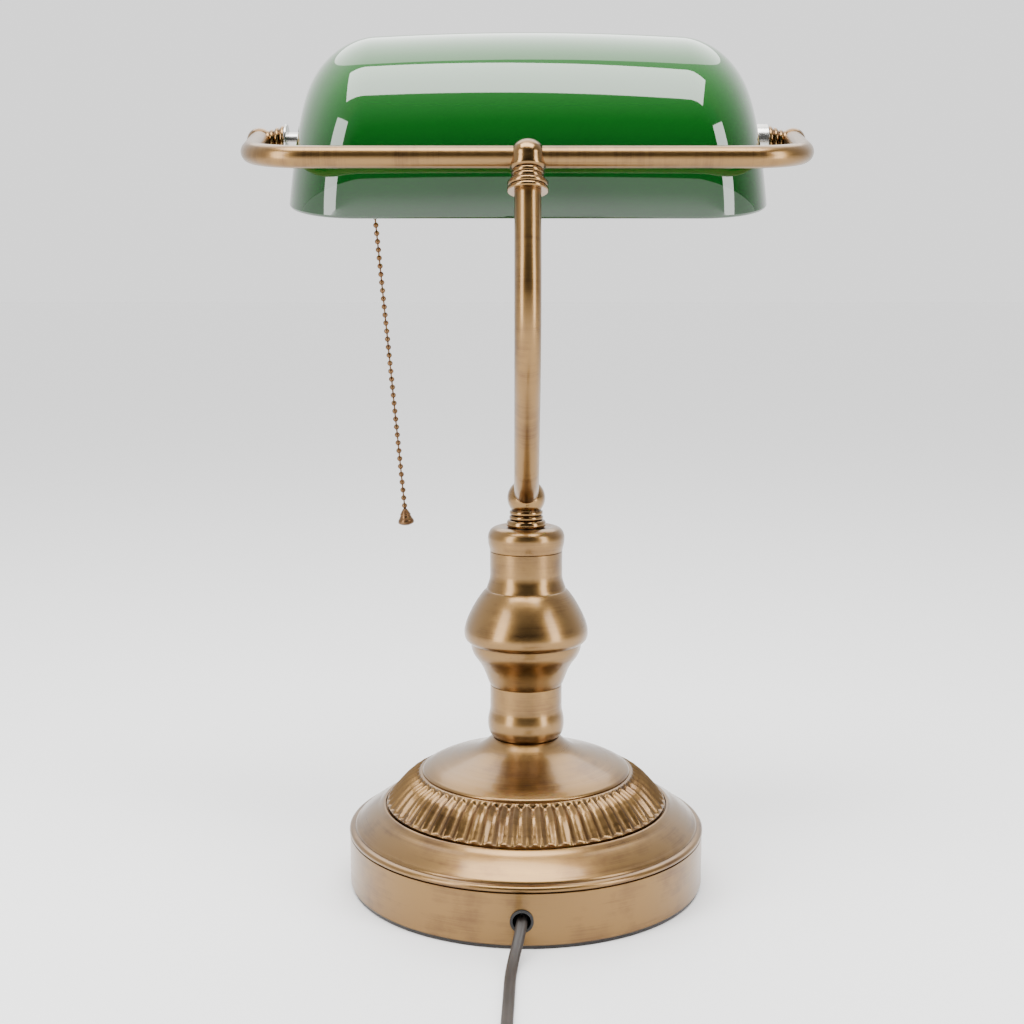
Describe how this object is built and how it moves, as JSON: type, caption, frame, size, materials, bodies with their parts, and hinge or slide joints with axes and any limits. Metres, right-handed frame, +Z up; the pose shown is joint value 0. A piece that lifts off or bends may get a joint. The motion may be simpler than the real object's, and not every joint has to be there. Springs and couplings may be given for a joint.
{
  "type": "banker desk lamp",
  "caption": "Desk lamp with a weighted round base, turned spindle, bent arm and a yoke that holds a tilting cased-glass shade with a pull-chain lamp socket.",
  "frame": {"origin": "centre of the base's underside, where the lamp stands", "axes": "+Z up, +Y towards the reader's side, -Y the side where the cord leaves, +X to the right when seen from the cord's side"},
  "size_m": [0.275, 0.3615, 0.4183],
  "materials": {
    "antique_brass": "brushed, lacquered",
    "socket_brass": "bright",
    "dark_bronze": "aged",
    "nickel": "nickel plated",
    "plated_steel": "zinc plated",
    "cast_weight": "as cast",
    "green_glass": "cased, opal white inside",
    "felt": "pressed felt",
    "board": "fibre board",
    "phenolic": "moulded",
    "black_rubber": "matt",
    "cord": "flexible PVC",
    "plug": "moulded"
  },
  "bodies": {
    "stand": {"felt_pad": "felt", "bottom_board": "board", "base_shell": "antique_brass", "base_weight": "cast_weight", "fluted_band": "antique_brass", "dish_cap": "antique_brass", "spindle_foot": "antique_brass", "spindle_bulge": "antique_brass", "spindle_cap": "antique_brass", "threaded_pipe": "plated_steel", "pipe_nut": "plated_steel", "lock_washer": "plated_steel", "lower_elbow": "antique_brass", "arm_tube": "antique_brass", "yoke_hub": "antique_brass", "hub_screw": "plated_steel", "yoke_tube": "antique_brass", "left_elbow": "antique_brass", "right_elbow": "antique_brass", "cord_grommet": "black_rubber", "base_lead": "cord", "power_cord": "cord", "cord_coil": "cord", "plug_body": "plug", "plug_blades": "socket_brass"},
    "shade": {"left_nipple": "nickel", "right_nipple": "nickel", "left_washer": "nickel", "right_spacer": "nickel", "rubber_washers": "black_rubber", "shade_nuts": "nickel", "glass_shade": "green_glass", "socket_cap": "socket_brass", "socket_shell": "socket_brass", "socket_liner": "board", "switch_block": "phenolic", "screw_shell": "socket_brass", "centre_contact": "socket_brass", "chain_guide": "socket_brass"},
    "plunger": {"switch_plunger": "dark_bronze"},
    "connector": {"chain_connector": "dark_bronze"},
    "chain": {"pull_chain": "dark_bronze", "chain_fob": "dark_bronze"}
  },
  "joints": [
    {"name": "shade_tilt", "type": "hinge", "parent": "stand", "child": "shade", "pos_m": [0, 0.02862, 0.36732], "axis": [1, 0, 0], "range_deg": [-15, 40]},
    {"name": "chain_pull", "type": "slide", "parent": "shade", "child": "plunger", "axis": [0, 0.2419, -0.9703], "range_m": [0, 0.008], "stiffness_N_per_m": 300, "springref_m": -0.002},
    {"name": "chain_swing_side", "type": "hinge", "parent": "plunger", "child": "connector", "pos_m": [-0.07643, 0.03539, 0.34015], "axis": [0, 1, 0], "range_deg": [-15, 25]},
    {"name": "chain_swing", "type": "hinge", "parent": "connector", "child": "chain", "pos_m": [-0.07571, 0.03539, 0.33218], "axis": [1, 0, 0], "range_deg": [-25, 25]}
  ]
}
